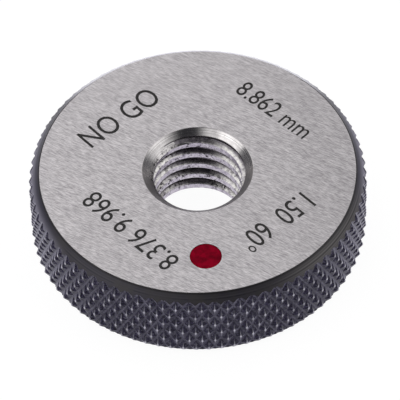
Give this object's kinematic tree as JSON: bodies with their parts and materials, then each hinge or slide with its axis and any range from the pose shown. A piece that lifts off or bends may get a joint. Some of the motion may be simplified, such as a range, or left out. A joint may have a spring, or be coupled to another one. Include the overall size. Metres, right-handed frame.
{
  "type": "thread ring gauge",
  "caption": "Solid NO GO thread ring gauge for checking an external metric thread, with a knurled rim and a red marker",
  "frame": {"origin": "centre of the lower ground face, on the axis of the threaded hole", "axes": "+Z along the axis of the threaded hole, out of the marked face; the red marker lies towards -Y"},
  "size_m": [0.032, 0.032, 0.008],
  "materials": {
    "gauge_steel": "ground faces, turned countersinks and a blackened knurled rim",
    "red_lacquer": "dark red lacquer filled into a recess"
  },
  "bodies": {
    "root": {"gauge_ring": "gauge_steel", "red_marker": "red_lacquer"}
  },
  "joints": []
}
